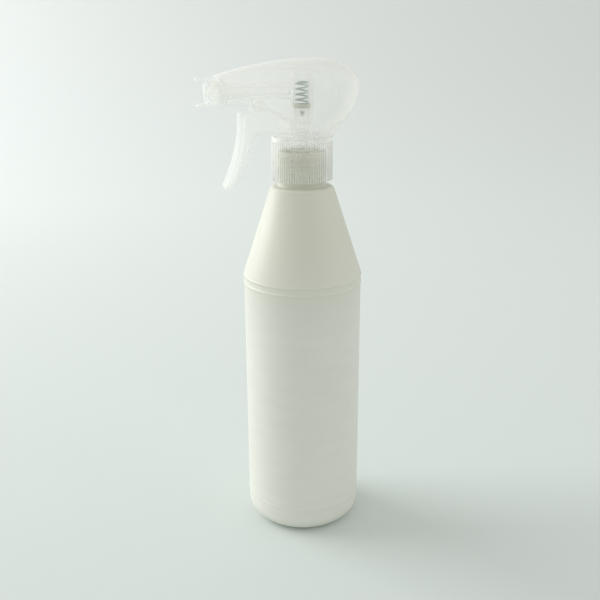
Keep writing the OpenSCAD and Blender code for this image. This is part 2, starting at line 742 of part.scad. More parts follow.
// Nozzle: sleeve on the spigot, round skirt and a square head with a recessed front
module nozzle_cap() {
    sleeve_r_out = sleeve_bore_r + nozzle_wall;
    skirt_r_out = nozzle_skirt_d / 2;
    d_sleeve = d_skirt - sleeve_back;
    d_web = d_head - nozzle_floor;
    groove_w = snap_w + 2 * lug_play;
    color(milky) difference() {
        union() {
            along_spray() rotate_extrude() polygon([
                [sleeve_bore_r, d_sleeve], [sleeve_r_out, d_sleeve], [sleeve_r_out, d_web],
                [skirt_r_out - nozzle_wall, d_web], [skirt_r_out - nozzle_wall, d_skirt],
                [nozzle_rim_d / 2, d_skirt], [nozzle_rim_d / 2, d_skirt + nozzle_rim_w],
                [skirt_r_out, d_skirt + nozzle_rim_w], [skirt_r_out, d_head],
                [0, d_head], [0, d_plate], [sleeve_bore_r, d_plate]]);
            nozzle_head();
        }
        along_spray(d_plate - cut) cylinder(d = pocket_d, h = d_pocket - d_plate + cut);
        along_spray(d_plate) cylinder(d = orifice_d, h = d_front - d_plate);
        along_spray(d_snap - lug_play)
            cylinder(r = tube_d / 2 + snap_proud + run_play, h = groove_w);
    }
}

// Outline of the recess along the spray direction, with round inner corners
module recess_outline(half) {
    r = nozzle_recess_r;
    ahead = nozzle_recess + cut;
    translate([d_recess + r, -half]) square([ahead - r, 2 * half]);
    translate([d_recess, r - half]) square([ahead, 2 * (half - r)]);
    for (side = [-1, 1]) translate([d_recess + r, side * (half - r)]) circle(r = r);
}

// Square head: two crossing wedges trimmed by a cone, recessed between an upper and a lower lip
module nozzle_head() {
    front_h = nozzle_w / 2;
    back_h = front_h - nozzle_taper;
    wedge = [[d_head, -back_h], [d_front, -front_h], [d_front, front_h], [d_head, back_h]];
    difference() {
        intersection() {
            translate([0, 0, z_spray]) rotate([90, 0, 0])
                linear_extrude(nozzle_w, center = true) mirror([1, 0]) polygon(wedge);
            translate([0, 0, z_spray])
                linear_extrude(nozzle_w, center = true) mirror([1, 0]) polygon(wedge);
            along_spray(d_head) cylinder(d1 = nozzle_corner_d - 2 * nozzle_taper,
                d2 = nozzle_corner_d, h = nozzle_head_h);
        }
        translate([0, 0, z_spray]) rotate([90, 0, 0])
            linear_extrude(2 * nozzle_w, center = true)
                mirror([1, 0]) recess_outline(front_h - nozzle_lip);
    }
    along_spray(d_recess - bite) cylinder(d = orifice_boss_d, h = orifice_boss_h + bite);
}

module neck_gasket() {
    color(soft_natural) translate([0, 0, z_rim]) tube(flange_d, gasket_bore_d, gasket_h);
}

// Vent valve: soft mushroom, its stem in the vent hole and its cap under the flange
module vent_valve() {
    stem_h = 2.5;
    color(soft_natural) translate([vent_place_r, 0, z_flange]) {
        translate([0, 0, -vent_cap_h]) cylinder(d = vent_cap_d, h = vent_cap_h);
        cylinder(d = vent_d - 2 * fit_play, h = stem_h);
    }
}

// Bush in the barrel that grips the dip tube
module tube_holder() {
    outer = barrel_d - 2 * holder_wall - 2 * fit_play;
    color(milky) difference() {
        union() {
            translate([0, 0, z_barrel - holder_flange_h]) cylinder(d = barrel_d, h = holder_flange_h);
            translate([0, 0, z_barrel - bite]) cylinder(d = outer, h = holder_h + bite);
        }
        translate([0, 0, z_barrel - holder_flange_h - cut])
            cylinder(d = dip_d + 2 * fit_play, h = holder_h + holder_flange_h + 2 * cut);
    }
}

// Dip tube with a slanted lower end
module dip_tube() {
    z_top = z_barrel + holder_h - face_play;
    z_low = push_up_h + bottle_wall + dip_clear;
    color(clear_milky) difference() {
        translate([0, 0, z_low]) tube(dip_d, dip_d - 2 * dip_wall, z_top - z_low);
        translate([-dip_d / 2, 0, z_low]) rotate([0, -dip_slant, 0])
            translate([-dip_d, -dip_d, -2 * dip_d]) cube([4 * dip_d, 2 * dip_d, 2 * dip_d]);
    }
}

// Side view of the trigger's blade: a crescent between two arcs
module blade_2d(thick = 0) {
    intersection() {
        difference() {
            translate(blade_centre) circle(r = blade_r, $fn = 128);
            translate(finger_centre) circle(r = finger_r, $fn = 128);
            if (thick > 0) translate(finger_centre) difference() {
                circle(r = 2 * finger_r, $fn = 128);
                circle(r = finger_r + thick, $fn = 128);
            }
        }
        translate([-finger_reach - trigger_len, -trigger_len])
            square([finger_reach + trigger_len, trigger_len - finger_top]);
    }
}

// Side view of a plate: pivot eye and the arm that ends in a fork
module plate_2d() {
    eye_r = eye_d / 2;
    web_r = eye_r - bite;
    fork_top = lug_place.y + fork_h + tine_h;
    end_x = lug_place.x + fork_back;
    root_x = lug_place.x - fork_front;
    // Direction, from the eye's centre, in which the arm's upper edge leaves the eye
    leave_a = 25;
    difference() {
        union() {
            circle(r = eye_r);
            polygon([[-web_r, 0], [-web_r, plate_bottom], [end_x, plate_bottom],
                [end_x, fork_top], [root_x, fork_top], web_r * [cos(leave_a), sin(leave_a)]]);
        }
        circle(r = pin_d / 2 + run_play);
        translate([root_x + fork_h, lug_place.y - fork_h])
            square([fork_front + fork_back, 2 * fork_h]);
        translate([root_x + fork_h, lug_place.y]) circle(r = fork_h);
    }
}

// Trigger: finger wall, two side walls, two plates with eyes and forks
module trigger() {
    color(milky) translate(pivot) rotate([90, 0, 0]) {
        linear_extrude(trigger_w, center = true) blade_2d(finger_wall);
        for (side = [-1, 1]) translate([0, 0, side * (trigger_w - trigger_wall) / 2])
            linear_extrude(trigger_wall, center = true) {
                blade_2d();
                plate_2d();
            }
    }
}

// Crown line of the shroud: nose to top, top to rear, rear to skirt
function crown(u) =
    u <= 1 ? bend(nose, crown_pull, crown_top, u)
    : u <= 2 ? let (a = 90 * (u - 1))
        [mix(crown_top.x, rear.x, sin(a)), mix(rear.y, crown_top.y, cos(a))]
    : curve(rear, rear_pull, skirt_pull, [skirt_r, z_skirt], u - 2);

// Lower edge of the shroud with its half width: housing, arch, skirt
function edge(v) =
    v <= 1 ? [mix(house_edge.x, arch_start.x, v), mix(house_half_w, arch_half_w, smooth(v)),
              mix(house_edge.y, arch_start.y, v)]
    : v <= 2 ? let (p = bend(arch_start, arch_bend, arch_end, v - 1))
        [p.x, mix(arch_half_w, skirt_r * sin(skirt_front_a), smooth(v - 1)), p.y]
    : let (a = mix(skirt_front_a, skirt_rear_a, v - 2))
        [skirt_r * cos(a), skirt_r * sin(a), z_skirt];

// Rows of the loft: place on the crown, place on the edge, sweep, squareness, roundness, wall
rows = concat(
    [for (i = [0:house_rows - 1]) let (t = i / house_rows)
        [house_share * t, t, mix(nose_sweep, 1, t), front_square, 0, mix(nose_wall, shroud_wall, t)]],
    [for (i = [0:arch_rows - 1]) let (t = i / arch_rows)
        [mix(house_share, 1, t), 1 + t, 1, mix(front_square, rear_square, smooth(t)), 0, shroud_wall]],
    [for (i = [0:rear_rows]) let (t = i / rear_rows)
        [1 + 2 * t, 2 + t, 1, rear_square, smooth(t), shroud_wall]]);
cols = 2 * half_cols + 1;

// A point of the outer skin; t runs from -1 over the crown to 1
function skin_point(row, t) =
    let (s = abs(t),
         top = crown(row[0]), low = edge(row[1]), n = 2 / row[3], a = skirt_rear_a,
         f = mix(pow(sin(90 * s), n), sin(a * s) / sin(a), row[4]),
         g = mix(1 - pow(cos(90 * s), n), (1 - cos(a * s)) / (1 - cos(a)), row[4]))
    [mix(top.x, low.x, pow(g, row[2])), sign(t) * low.y * f, mix(top.y, low.z, g)];

outer_skin = [for (row = rows) [for (j = [-half_cols:half_cols]) skin_point(row, j / half_cols)]];

// Inner skin: the outer skin moved inwards along its normals
function skin_normal(i, j) =
    let (a = outer_skin[max(i - 1, 0)][j], b = outer_skin[min(i + 1, len(rows) - 1)][j],
         c = outer_skin[i][max(j - 1, 0)], d = outer_skin[i][min(j + 1, cols - 1)])
    unit(cross(b - a, d - c));
inner_skin = [for (i = [0:len(rows) - 1]) [for (j = [0:cols - 1])
    outer_skin[i][j] - rows[i][5] * skin_normal(i, j)]];

// Shroud: both skins joined along the open edges
module shroud() {
    n = len(rows);
    in = n * cols;
    function id(i, j) = i * cols + j;
    skins = [for (i = [0:n - 2], j = [0:cols - 2])
        each concat(quad(id(i, j), id(i, j + 1), id(i + 1, j + 1), id(i + 1, j)),
            quad(in + id(i, j), in + id(i + 1, j), in + id(i + 1, j + 1), in + id(i, j + 1)))];
    front_and_rear = [for (j = [0:cols - 2])
        each concat(quad(id(0, j + 1), id(0, j), in + id(0, j), in + id(0, j + 1)),
            quad(id(n - 1, j), id(n - 1, j + 1), in + id(n - 1, j + 1), in + id(n - 1, j)))];
    sides = [for (i = [0:n - 2])
        let (p = id(i, cols - 1), q = id(i + 1, cols - 1))
        each concat(quad(id(i, 0), id(i + 1, 0), in + id(i + 1, 0), in + id(i, 0)),
            quad(q, p, in + p, in + q))];
    points = concat([for (r = outer_skin) each r], [for (r = inner_skin) each r]);
    color(milky) polyhedron(points, concat(skins, front_and_rear, sides));
}

bottle();
collar();
pump_body();
shroud();
trigger();
nozzle_cap();
plunger();
piston_cup();
inlet_ball();
ball_cage();
return_spring();
cylinder_cap();
stem_seal();
outlet_valve();
spinner();
nozzle_seal();
neck_gasket();
vent_valve();
tube_holder();
dip_tube();
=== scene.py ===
"""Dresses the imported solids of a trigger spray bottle: blown bottle, ribbed screw collar
and a milky sprayer with its pump showing through."""

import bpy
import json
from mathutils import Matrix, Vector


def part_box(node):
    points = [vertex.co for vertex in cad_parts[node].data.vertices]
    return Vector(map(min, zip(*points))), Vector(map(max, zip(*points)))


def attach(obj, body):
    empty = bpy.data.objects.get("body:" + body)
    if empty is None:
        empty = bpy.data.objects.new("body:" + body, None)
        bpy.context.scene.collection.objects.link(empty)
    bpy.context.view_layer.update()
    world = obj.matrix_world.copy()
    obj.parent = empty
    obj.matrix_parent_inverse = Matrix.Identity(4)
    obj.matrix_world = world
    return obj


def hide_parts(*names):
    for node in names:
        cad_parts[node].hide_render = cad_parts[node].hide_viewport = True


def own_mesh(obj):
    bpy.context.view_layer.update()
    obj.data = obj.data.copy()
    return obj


bl_info = {
    "name": "Trigger Spray Bottle",
    "version": (1, 0, 0),
    "blender": (4, 5, 0),
    "location": "View3D > Sidebar > Spray Bottle",
    "description": "Builds the visible pieces, finishes and stage of a trigger spray bottle",
    "category": "Object",
}

import json
import math

import bmesh
import bpy
from mathutils import Matrix, Vector

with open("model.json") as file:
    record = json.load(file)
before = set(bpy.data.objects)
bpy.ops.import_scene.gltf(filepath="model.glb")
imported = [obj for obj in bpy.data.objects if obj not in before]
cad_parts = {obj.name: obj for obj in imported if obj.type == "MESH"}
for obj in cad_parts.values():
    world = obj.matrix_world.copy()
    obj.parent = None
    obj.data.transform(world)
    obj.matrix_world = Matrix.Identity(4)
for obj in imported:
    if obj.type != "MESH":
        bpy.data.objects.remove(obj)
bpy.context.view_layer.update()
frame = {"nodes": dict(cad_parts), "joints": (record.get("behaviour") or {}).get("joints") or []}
NODES = frame["nodes"]
MM = 0.001
TURN = 2 * math.pi
COPY_ANGLE = 14
SHARP_ANGLE = 32
RIB_STEPS = 6
RIB_HALF = 0.24


# Properties

def length(name, description, mm):
    """A length property whose default is given in millimetres."""
    return bpy.props.FloatProperty(
        name=name, description=description, default=mm * MM, unit="LENGTH", precision=5)


def share(name, description, default):
    """A plain number from 0 to 1."""
    return bpy.props.FloatProperty(
        name=name, description=description, default=default, min=0, max=1, subtype="FACTOR")


def count(name, description, default):
    """A whole number of repeats or steps."""
    return bpy.props.IntProperty(name=name, description=description, default=default, min=1)


def turns(name, description, default):
    """A number of turns, with parts of one."""
    return bpy.props.FloatProperty(name=name, description=description, default=default, min=0)


def place(name, description, default):
    """A place in the room, in metres."""
    return bpy.props.FloatVectorProperty(
        name=name, description=description, default=default, size=3, subtype="TRANSLATION", unit="LENGTH")


def tint(name, description, default):
    """A linear colour."""
    return bpy.props.FloatVectorProperty(
        name=name, description=description, default=default, size=3, min=0, max=1, subtype="COLOR")


class BottleSizes(bpy.types.PropertyGroup):
    """Sizes of the blown bottle and of its neck."""

    body_d: length("Body", "Outer diameter of the straight body", 66)
    body_h: length("Body height", "Height at which the shoulder begins", 151.6)
    shoulder_h: length("Shoulder height", "Height of the conical shoulder", 48.4)
    shoulder_top_d: length("Shoulder top", "Diameter at the top of the shoulder", 34.4)
    shoulder_round: length("Shoulder rounding", "Radius of the shoulder's top edge", 2.4)
    wall: length("Wall", "Thickness of the blown wall", 1.2)
    corner: length("Base corner", "Radius of the rounded bottom corner", 10)
    push_up: length("Push-up", "Height of the hollow under the base", 3)
    foot: length("Foot", "Width of the ring that the bottle stands on", 3)
    ring_z: length("Base ring", "Height of the faint ring above the base", 16)
    ring_proud: length("Base ring depth", "How far the faint ring stands out", 0.2)
    bead_pitch: length("Bead pitch", "Distance between the two beads", 4.2)
    bead_half: length("Bead half width", "Half the width of a bead", 1.1)
    bead_proud: length("Bead depth", "How far a bead stands out", 0.35)
    neck_d: length("Neck", "Outer diameter of the neck", 25.9)
    neck_bore: length("Neck bore", "Bore of the neck", 21.8)
    neck_h: length("Neck height", "Height of the neck", 19)
    sides: count("Sides", "Steps round the bottle", 160)


class ThreadSizes(bpy.types.PropertyGroup):
    """Sizes of the screw thread between neck and collar."""

    pitch: length("Pitch", "Rise of the thread per turn", 3.6)
    neck_start: length("Neck start", "Height at which the neck's thread begins", 206.6)
    neck_turns: turns("Neck turns", "Turns of the neck's thread", 2.9)
    collar_start: length("Collar start", "Height at which the collar's thread begins", 204.8)
    collar_turns: turns("Collar turns", "Turns of the collar's thread", 3.55)
    neck_ridge: length("Neck ridge", "Height of the neck's ridge", 0.8)
    collar_ridge: length("Collar ridge", "Height of the collar's ridge", 0.9)
    foot_half: length("Ridge foot", "Half width of a ridge at its foot", 0.95)
    crest_half: length("Ridge crest", "Half width of a ridge at its crest", 0.4)
    sink: length("Sink", "How far a ridge's foot lies in its wall", 0.15)
    steps: count("Steps", "Steps per turn", 72)


class CollarSizes(bpy.types.PropertyGroup):
    """Sizes of the ribbed collar."""

    outer_d: length("Collar", "Diameter over the ribs", 33.4)
    bore: length("Bore", "Bore of the collar", 28.2)
    hole: length("Hole", "Hole round the sprayer's journal", 21)
    web: length("Web", "Thickness of the web at the top", 3.2)
    band: length("Band", "Height of the plain band above the ribs", 2.4)
    rib_depth: length("Rib depth", "Depth of the grooves", 0.35)
    ribs: count("Ribs", "Number of ribs", 72)
    edge: length("Edge", "Chamfer on the top edge", 0.8)
    lead: length("Lead", "Chamfer at the mouth of the bore", 0.8)
    soft: length("Soft edge", "Size of the small chamfers", 0.25)


class ShroudSizes(bpy.types.PropertyGroup):
    """Sizes of the moulded shroud."""

    wall: length("Wall", "Thickness of the shroud", 1.3)
    nose_wall: length("Nose wall", "Thickness at the visor's nose", 0.7)
    rim: length("Rim", "Rounding of the open edges", 0.22)
    rows: count("Rows", "Rows of the loft per section", 24)
    columns: count("Columns", "Columns of the loft", 56)


class SpringSizes(bpy.types.PropertyGroup):
    """Sizes of the return spring."""

    coil_d: length("Coil", "Mean diameter of the coil", 6.4)
    wire_d: length("Wire", "Diameter of the wire", 0.88)
    turns: turns("Turns", "Turns of the coil", 5.2)
    end_turns: turns("End turns", "Turns at each end that lie nearly flat", 0.55)
    end_slope: share("End slope", "Rise of an end turn beside an even coil", 0.1)
    start: bpy.props.FloatProperty(
        name="Start", description="Direction of the lower end", default=math.radians(20),
        subtype="ANGLE")
    steps: count("Steps", "Points per turn", 28)


class Finishes(bpy.types.PropertyGroup):
    """Colours and gloss of the materials."""

    bottle: tint("Bottle", "White of the bottle", (0.78, 0.78, 0.715))
    # Painted shade: the shoulder's darker, warmer white stands in for the lesser light that falls on the
    # shoulder from above.
    shoulder: tint("Shoulder", "White of the thicker shoulder", (0.72, 0.72, 0.625))
    bottle_rough: share("Bottle roughness", "Roughness of the satin bottle", 0.42)
    milky: tint("Milky", "Colour of the natural plastic", (0.99, 0.99, 0.97))
    milky_rough: share("Milky roughness", "Roughness of the natural plastic", 0.22)
    milky_through: share("Milky light", "Share of the scattered light that goes on through", 0.45)
    milky_most: share("Milky most", "How much a face veils at most", 0.95)
    steel: tint("Steel", "Colour of the wire", (0.17, 0.31, 0.25))
    ball: tint("Ball", "Colour of the valve's ball", (0.66, 0.68, 0.65))
    cup: tint("Piston cup", "Colour of the piston's seal", (0.46, 0.46, 0.34))
    soft: tint("Soft natural", "Colour of the soft valves and washers", (0.95, 0.95, 0.9))
    # Painted light: the sweep's tones run from a darker one before the object to a lighter one where it
    # rises, standing in for the fall of the window light.
    paper_near_painted_shade: tint("Near paper", "Colour of the sweep before the object", (0.645, 0.7, 0.675))
    paper: tint("Paper", "Colour of the sweep beside the object", (0.712, 0.767, 0.742))
    paper_far_painted_light: tint("Far paper", "Colour of the sweep where it rises", (0.802, 0.832, 0.82))


class StageSettings(bpy.types.PropertyGroup):
    """Camera and light."""

    lens: bpy.props.FloatProperty(name="Lens", description="Focal length in mm", default=48)
    azimuth: bpy.props.FloatProperty(
        name="Azimuth", description="Direction of view from +Y towards +X",
        default=math.radians(12), subtype="ANGLE")
    pitch: bpy.props.FloatProperty(
        name="Pitch", description="Downward tilt", default=math.radians(18.16), subtype="ANGLE")
    roll: bpy.props.FloatProperty(
        name="Roll", description="Roll of the camera", default=math.radians(-0.27),
        subtype="ANGLE")
    distance: length("Distance", "Distance from the axis, on the floor", 436.1)
    height: length("Height", "Height of the camera", 276.9)
    aside: length("Aside", "Shift of the camera to the left", 1.49)
    key_power: bpy.props.FloatProperty(name="Key", description="Power of the window light", default=54)
    key_place: place("Key place", "Where the window light hangs", (-2.0, 1.27, 1.1))
    fill_power: bpy.props.FloatProperty(name="Fill", description="Power of the fill light", default=6)
    fill_place: place("Fill place", "Where the fill light hangs", (1.8, -0.6, 1.2))
    aim: place("Aim", "Point that the lights face", (0, 0, 0.12))
    lamp_size: length("Light size", "Side of both square lights", 2000)
    lamp_tint: tint("Light colour", "Colour of both lights", (0.98, 0.985, 1.0))
    sky_power: bpy.props.FloatProperty(name="Sky", description="Strength of the room light", default=0.65)
    sky_tint: tint("Sky colour", "Colour of the room light", (1, 1, 0.97))
    sheet: length("Sheet", "Side of the paper before it rises", 6000)
    sheet_y: length("Sheet place", "Middle of the paper along Y", -800)
    rise: length("Rise", "Height to which the paper rises", 3000)
    bend: length("Bend", "Size of the paper's bend", 1200)


class SprayBottle(bpy.types.PropertyGroup):
    """All settings of the object."""

    bottle: bpy.props.PointerProperty(type=BottleSizes)
    thread: bpy.props.PointerProperty(type=ThreadSizes)
    collar: bpy.props.PointerProperty(type=CollarSizes)
    shroud: bpy.props.PointerProperty(type=ShroudSizes)
    spring: bpy.props.PointerProperty(type=SpringSizes)
    finish: bpy.props.PointerProperty(type=Finishes)
    stage: bpy.props.PointerProperty(type=StageSettings)


def settings():
    return bpy.context.scene.spray_bottle


# Shader expressions

class Wire:
    """An output socket that takes part in Python expressions."""

    def __init__(self, finish, socket):
        self.finish = finish
        self.socket = socket

    def math(self, operation, *values):
        return self.finish.node("ShaderNodeMath", {"operation": operation}, dict(enumerate(values)))

    def __add__(self, other):
        return self.math("ADD", self, other)

    def __sub__(self, other):
        return self.math("SUBTRACT", self, other)

    def __rsub__(self, other):
        return self.math("SUBTRACT", other, self)

    def __mul__(self, other):
        return self.math("MULTIPLY", self, other)

    __radd__ = __add__
    __rmul__ = __mul__

    def upto(self, limit):
        return self.math("MINIMUM", self, limit)

    def far(self):
        return self.math("ABSOLUTE", self)

    def ramp(self, low, high, kind="LINEAR"):
        """0 below low and 1 above high, with a straight rise between."""
        return self.finish.node(
            "ShaderNodeMapRange", {"interpolation_type": kind, "clamp": True},
            {"Value": self, "From Min": low, "From Max": high})

    def band(self, low, high):
        """0 below low and 1 above high, with a smooth step between."""
        return self.ramp(low, high, "SMOOTHSTEP")


class Finish:
    """A material whose nodes are added one by one."""

    def __init__(self, name, **fixed):
        self.material = bpy.data.materials.new(name)
        self.material.use_nodes = True
        self.tree = self.material.node_tree
        self.shader = next(n for n in self.tree.nodes if n.type == "BSDF_PRINCIPLED")
        self.set(**fixed)
        self.place = Wire(self, self.tree.nodes.new("ShaderNodeTexCoord").outputs["Object"])

    def set(self, **values):
        """Fixed values or wires for the shader's sockets, with _ for a space."""
        for name, value in values.items():
            self.put(self.shader.inputs[name.replace("_", " ")], value)

    def put(self, socket, value):
        if isinstance(value, Wire):
            self.tree.links.new(value.socket, socket)
        elif socket.type == "RGBA" and len(value) == 3:
            socket.default_value = (*value, 1)
        else:
            socket.default_value = value

    def node(self, kind, options=None, sockets=None, out=0):
        """Adds a node, sets its options, then its sockets, and returns one of its outputs."""
        made = self.tree.nodes.new(kind)
        for name, value in (options or {}).items():
            setattr(made, name, value)
        for key, value in (sockets or {}).items():
            self.put(made.inputs[key], value)
        return Wire(self, made.outputs[out])

    def noise(self, scale, detail=3.0, rough=0.5, stretch=(1, 1, 1)):
        spot = self.node("ShaderNodeMapping", None, {"Vector": self.place, "Scale": stretch})
        return self.node("ShaderNodeTexNoise", None, {
            "Vector": spot, "Scale": scale, "Detail": detail, "Roughness": rough})

    def axis(self, name):
        return self.node("ShaderNodeSeparateXYZ", None, {"Vector": self.place}, name)

    def blend(self, factor, low, high):
        """A colour between two colours."""
        return self.node(
            "ShaderNodeMix", {"data_type": "RGBA"}, {"Factor": factor, 6: low, 7: high}, 2)

    def veil(self, haze, through, colour):
        """Shows what is behind where haze is low, and sends a share of the light on through the rest."""
        body = Wire(self, self.shader.outputs[0])
        glow = self.node("ShaderNodeBsdfTranslucent", None, {"Color": colour})
        scatter = self.node("ShaderNodeMixShader", None, {"Fac": through, 1: body, 2: glow})
        clear = self.node("ShaderNodeBsdfTransparent")
        both = self.node("ShaderNodeMixShader", None, {"Fac": haze, 1: clear, 2: scatter})
        output = next(n for n in self.tree.nodes if n.type == "OUTPUT_MATERIAL")
        self.put(output.inputs["Surface"], both)

    def bump(self, height, strength, depth=0.0001):
        self.set(Normal=self.node(
            "ShaderNodeBump", None, {"Height": height, "Strength": strength, "Distance": depth}))


def lighter(colour, k):
    return tuple(min(1.0, c * k) for c in colour)


def bottle_satin():
    """Blown white plastic with painted shade on its shoulder: satin skin, flow marks, grain, parting line.
    """
    f = settings().finish
    s = settings().bottle
    made = Finish("bottle_satin", IOR=1.5, Specular_IOR_Level=0.4)
    grain = made.noise(2600, 2)
    flow = made.noise(60, 4, 0.6, (1, 1, 3))
    scuff = made.noise(240, 5, 0.65, (1, 1, 0.4)).band(0.6, 0.75)
    parting = 1 - made.axis("Y").far().band(0.0001, 0.00035)
    colour = made.blend(flow.band(0.3, 0.7), lighter(f.bottle, 0.985), lighter(f.bottle, 1.01))
    # Painted shade: the bottle's white turns to the darker shoulder tone up the shoulder.
    shoulder_shade = made.axis("Z").band(s.body_h - 40 * MM, s.body_h + 28 * MM)
    made.set(
        Base_Color=made.blend(shoulder_shade, colour, f.shoulder),
        Roughness=f.bottle_rough + 0.07 * flow + 0.06 * scuff - 0.035)
    made.bump(grain * 0.25 + flow * 0.5 + parting * 0.4, 0.12, 0.00012)
    return made.material


def milky_plastic(name, haze, rim=0.0, tinted=None, outside=None):
    """Natural translucent plastic: a face veils by haze, and by up to rim more where it is seen along.

    A tint is a colour, its haze and the heights between which it sets in. For a turned piece, outside
    gives the radii between which the rim sets in, and such a rim sends its light back."""
    f = settings().finish
    made = Finish(name, IOR=1.49)
    flow = made.noise(140, 3, 0.55, (1, 1, 2))
    colour = made.blend(flow.band(0.3, 0.7), lighter(f.milky, 0.99), lighter(f.milky, 1.01))
    veil = haze - 0.015 + 0.03 * flow
    through = f.milky_through
    if tinted:
        tone, dense, low, high = tinted
        part = made.axis("Z").band(low, high)
        colour = made.blend(part, colour, tone)
        veil = veil + (dense - haze) * part
        through = through * (1 - part)
    if rim:
        facing = made.node("ShaderNodeLayerWeight", None, {"Blend": 0.5}, "Facing")
        edge = rim * facing
        if outside:
            x, y = made.axis("X"), made.axis("Y")
            edge = edge * (x * x + y * y).band(outside[0] ** 2, outside[1] ** 2)
            through = through * (1 - edge.upto(f.milky_most))
        veil = (veil + edge).upto(f.milky_most)
    made.set(Base_Color=colour, Roughness=f.milky_rough + 0.08 * flow)
    made.bump(flow + made.noise(1800, 2) * 0.3, 0.05)
    made.veil(veil, through, f.milky)
    return made.material


def steel(name, colour, rough):
    """Steel of wire and ball: fine die marks and a dull oil film."""
    made = Finish(name, Metallic=1.0)
    mark = made.noise(2200, 3, 0.6, (1, 1, 5))
    film = made.noise(300, 3)
    made.set(
        Base_Color=made.blend(film.band(0.35, 0.7), lighter(colour, 0.8), lighter(colour, 1.15)),
        Roughness=rough + 0.2 * mark)
    made.bump(mark, 0.08)
    return made.material


def cup_rubber():
    """Olive rubber with moulding grain and a little bloom."""
    made = Finish("cup_rubber", Specular_IOR_Level=0.3)
    bloom = made.noise(500, 4, 0.6)
    cup = settings().finish.cup
    made.set(
        Base_Color=made.blend(bloom.band(0.4, 0.75), cup, lighter(cup, 1.3)),
        Roughness=0.55 + 0.2 * bloom)
    made.bump(made.noise(3500, 2), 0.1)
    return made.material


def soft_natural():
    """Natural elastomer of the washers, valves and inserts: cloudy, dull and half clear."""
    made = Finish("soft_natural", IOR=1.45)
    cloud = made.noise(400, 3)
    soft = settings().finish.soft
    colour = made.blend(cloud.band(0.3, 0.7), lighter(soft, 0.97), lighter(soft, 1.03))
    made.set(Base_Color=colour, Roughness=0.42 + 0.12 * cloud)
    made.bump(made.noise(3000, 2), 0.06)
    made.veil(0.04 + 0.06 * cloud, 0.5, soft)
    return made.material


# Modelling helpers

def arc(centre, radius, start, end, steps):
    """Points (r, z) of an arc, angles in degrees."""
    angles = [math.radians(start + (end - start) * i / steps) for i in range(steps + 1)]
    return [(centre[0] + radius * math.cos(a), centre[1] + radius * math.sin(a)) for a in angles]


def swell(radius, z, half, proud, steps=10):
    """Points of a low bead with soft feet on a wall of the given radius."""
    spots = [-1 + 2 * i / steps for i in range(steps + 1)]
    return [(radius + proud * math.cos(math.pi / 2 * s) ** 2, z + half * s) for s in spots]


def object_mode():
    if bpy.context.object and bpy.context.object.mode != "OBJECT":
        bpy.ops.object.mode_set(mode="OBJECT")
    bpy.ops.object.select_all(action="DESELECT")


def begin(name):
    """Starts a piece from one point at the origin, in edit mode."""
    object_mode()
    bpy.ops.mesh.primitive_plane_add(size=MM)
    piece = bpy.context.object
    piece.name = name
    piece.data.name = name
    bpy.ops.object.mode_set(mode="EDIT")
    bpy.ops.mesh.select_mode(type="VERT")
    bpy.ops.mesh.select_all(action="SELECT")
    bpy.ops.mesh.merge(type="CENTER")
    return piece


def draw(points):
    """Extrudes the selected point along a line of points, from the origin."""
    bpy.ops.transform.translate(value=points[0])
    for a, b in zip(points, points[1:]):
        bpy.ops.mesh.extrude_region_move(
            TRANSFORM_OT_translate={"value": tuple(Vector(b) - Vector(a))})


def weld():
    bpy.ops.mesh.select_all(action="SELECT")
    bpy.ops.mesh.remove_doubles(threshold=1e-6)
    bpy.ops.mesh.normals_make_consistent(inside=False)


def lathe(name, profile, steps):
    """A closed piece turned from a profile of (r, z) points."""
    piece = begin(name)
    draw([(r, 0, z) for r, z in profile])
    bpy.ops.mesh.select_all(action="SELECT")
    bpy.ops.mesh.spin(steps=steps, angle=TURN, center=(0, 0, 0), axis=(0, 0, 1))
    weld()
    return piece


def select_verts(test):
    """Selects the vertices, in edit mode, whose place passes a test."""
    bpy.ops.mesh.select_mode(type="VERT")
    bpy.ops.mesh.select_all(action="DESELECT")
    mesh = bmesh.from_edit_mesh(bpy.context.object.data)
    for v in mesh.verts:
        v.select = bool(test(v.co))
    mesh.select_flush(True)
    bmesh.update_edit_mesh(bpy.context.object.data)


def apply_modifier(piece, kind, **options):
    modifier = piece.modifiers.new(kind.lower(), kind)
    for name, value in options.items():
        setattr(modifier, name, value)
    bpy.context.view_layer.objects.active = piece
    bpy.ops.object.modifier_apply(modifier=modifier.name)


def complete(piece, material, body, replaced=(), angle=35):
    """Ends the modelling of a piece: smooth shading, finish, body, and the replaced parts hidden."""
    object_mode()
    piece.select_set(True)
    bpy.context.view_layer.objects.active = piece
    bpy.ops.object.shade_smooth_by_angle(angle=math.radians(angle))
    piece.data.materials.clear()
    piece.data.materials.append(material)
    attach(piece, body)
    if replaced:
        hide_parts(*replaced)


def moulded_copy(node, name, edge):
    """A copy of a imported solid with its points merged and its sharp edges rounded."""
    object_mode()
    piece = NODES[node].copy()
    piece.data = NODES[node].data.copy()
    for key in list(piece.keys()):
        del piece[key]
    piece.name = name
    piece.data.name = name
    piece.parent = None
    bpy.context.scene.collection.objects.link(piece)
    piece.select_set(True)
    bpy.context.view_layer.objects.active = piece
    bpy.ops.object.mode_set(mode="EDIT")
    bpy.ops.mesh.select_all(action="SELECT")
    bpy.ops.mesh.remove_doubles(threshold=2e-6)
    bpy.ops.mesh.dissolve_limited(angle_limit=math.radians(1))
    object_mode()
    apply_modifier(
        piece, "BEVEL", width=edge, segments=2, limit_method="ANGLE",
        angle_limit=math.radians(SHARP_ANGLE), use_clamp_overlap=False, harden_normals=False)
    return piece


# Pieces

